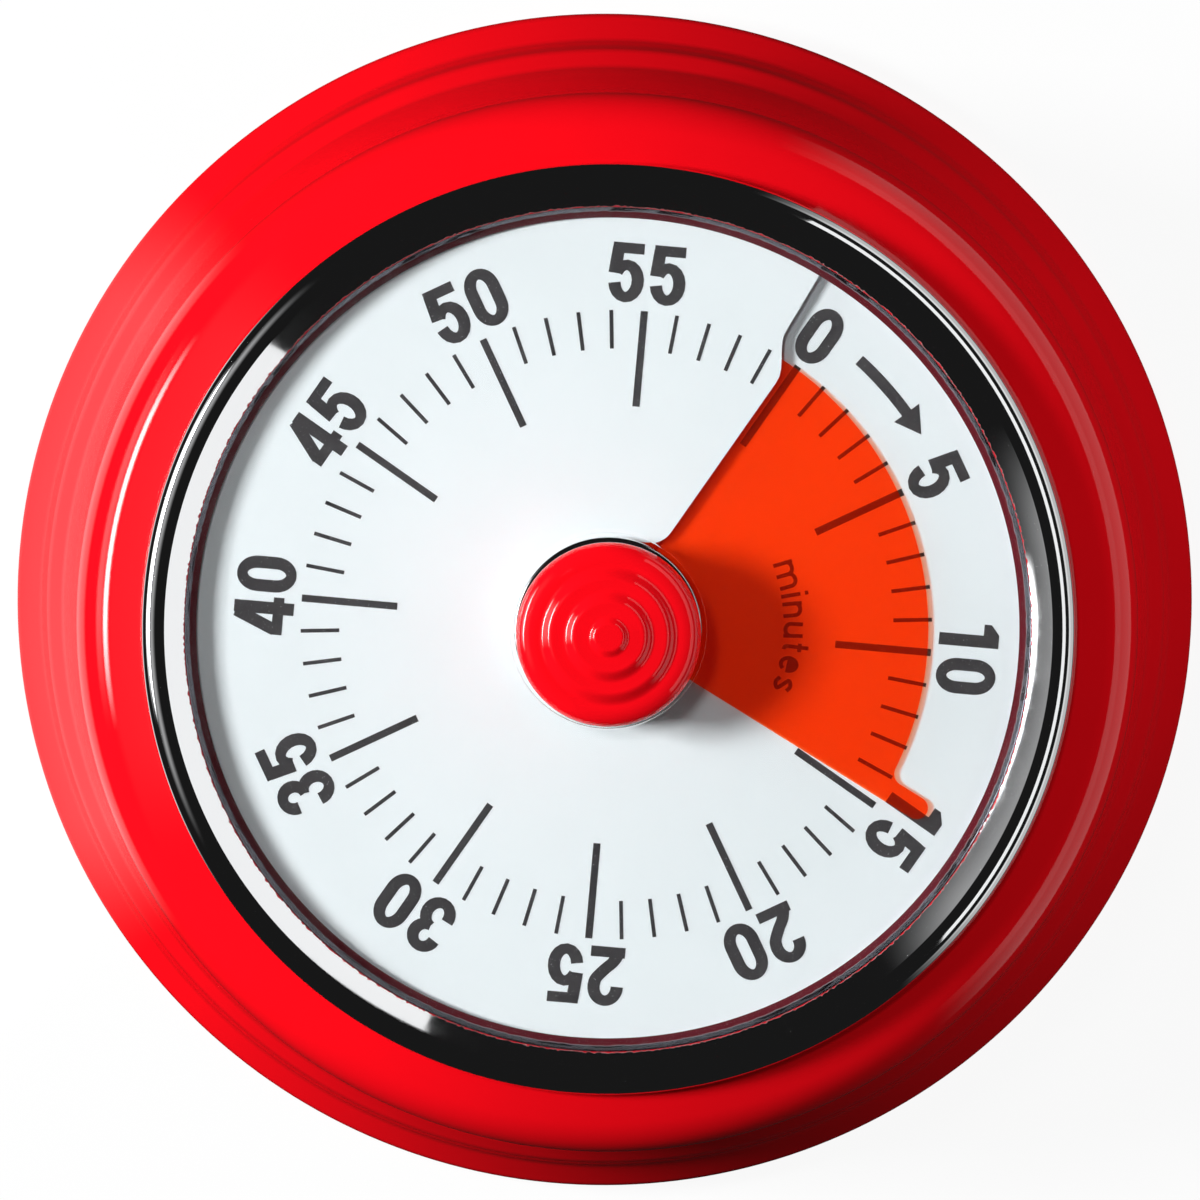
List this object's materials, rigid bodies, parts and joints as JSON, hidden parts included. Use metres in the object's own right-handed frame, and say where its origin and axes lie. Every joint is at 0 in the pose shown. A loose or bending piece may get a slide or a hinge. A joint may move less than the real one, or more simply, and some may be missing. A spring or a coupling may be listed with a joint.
{
  "type": "wind-up kitchen timer",
  "caption": "Round wind-up timer with a red bell-shaped case, chrome bezel, slit white dial, a translucent disc that shows the minutes left, stepped knob, clockwork and bell.",
  "frame": {"origin": "middle of the back, on the plane that the foot ring rests on", "axes": "+Z is the way the dial faces, +Y points at the dial's zero, +X at fifteen minutes"},
  "size_m": [0.08, 0.08, 0.035],
  "materials": {
    "case_red": "glossy red moulding",
    "chrome": "bright plating",
    "lens_clear": "clear polished",
    "dial_white": "smooth white print stock",
    "film_orange": "translucent orange-red film",
    "knob_red": "glossy red moulding",
    "plastic_black": "fine matt moulding",
    "plastic_white": "plain moulding",
    "magnet_grey": "ferrite",
    "plate_brass": "stamped, lightly brushed",
    "steel": "turned",
    "spring_blue": "blued ribbon",
    "bell_nickel": "nickel plating"
  },
  "bodies": {
    "case": {"housing": "case_red", "bezel": "chrome", "lens": "lens_clear", "dial_ring": "chrome", "dial": "dial_white", "dial_seat": "plastic_white", "rear_cover": "plastic_black", "cover_screws": "steel", "magnets": "magnet_grey", "front_plate": "plate_brass", "rear_plate": "plate_brass", "pillars": "steel", "pillar_nuts": "plate_brass", "movement_screws": "steel", "mainspring": "spring_blue", "spring_post": "steel", "bell": "bell_nickel", "bell_post": "steel", "bell_nut": "plate_brass"},
    "knob_arbor": {"knob": "knob_red", "knob_collar": "chrome", "main_arbor": "steel", "main_wheel": "plate_brass", "ratchet_wheel": "steel", "click": "steel", "click_stud": "plate_brass", "click_spring": "steel", "trip_pin": "steel"},
    "disc": {"time_disc": "film_orange", "disc_hub": "plastic_white"},
    "second": {"second_pinion": "steel", "second_wheel": "plate_brass"},
    "third": {"third_pinion": "steel", "third_wheel": "plate_brass"},
    "escape": {"escape_pinion": "steel", "escape_wheel": "plate_brass"},
    "balance": {"verge_arbor": "steel", "verge": "steel", "balance_bar": "plate_brass"},
    "hammer": {"hammer_arbor": "steel", "hammer_tail": "steel", "hammer_arm": "steel", "hammer_head": "plate_brass"}
  },
  "joints": [
    {"name": "knob_turn", "type": "hinge", "parent": "case", "child": "knob_arbor", "pos_m": [0, 0, 0], "axis": [0, 0, 1], "range_deg": [-265, 87], "deforming": ["mainspring"]},
    {"name": "disc_rise", "type": "slide", "parent": "knob_arbor", "child": "disc", "axis": [0, 0, 1], "range_m": [-0.0001943, 0.0005899]},
    {"name": "second_turn", "type": "hinge", "parent": "case", "child": "second", "pos_m": [0.0148, 0.00539, 0], "axis": [0, 0, 1], "continuous": true},
    {"name": "third_turn", "type": "hinge", "parent": "case", "child": "third", "pos_m": [0.00921, 0.01546, 0], "axis": [0, 0, 1], "continuous": true},
    {"name": "escape_turn", "type": "hinge", "parent": "case", "child": "escape", "pos_m": [0.00146, 0.01995, 0], "axis": [0, 0, 1], "continuous": true},
    {"name": "balance_swing", "type": "hinge", "parent": "case", "child": "balance", "pos_m": [-0.00511, 0.01934, 0], "axis": [0, 0, 1], "range_deg": [-7, 7]},
    {"name": "hammer_swing", "type": "hinge", "parent": "case", "child": "hammer", "pos_m": [-0.01402, -0.00581, 0], "axis": [0, 0, 1], "range_deg": [-10, 0], "stiffness_Nm_per_rad": 0.001}
  ],
  "couplings": [
    {"joint": "disc_rise", "follows": "knob_turn", "m_per_rad": -0.00012732},
    {"joint": "second_turn", "follows": "knob_turn", "ratio": -6},
    {"joint": "third_turn", "follows": "knob_turn", "ratio": 42},
    {"joint": "escape_turn", "follows": "knob_turn", "ratio": -252}
  ]
}
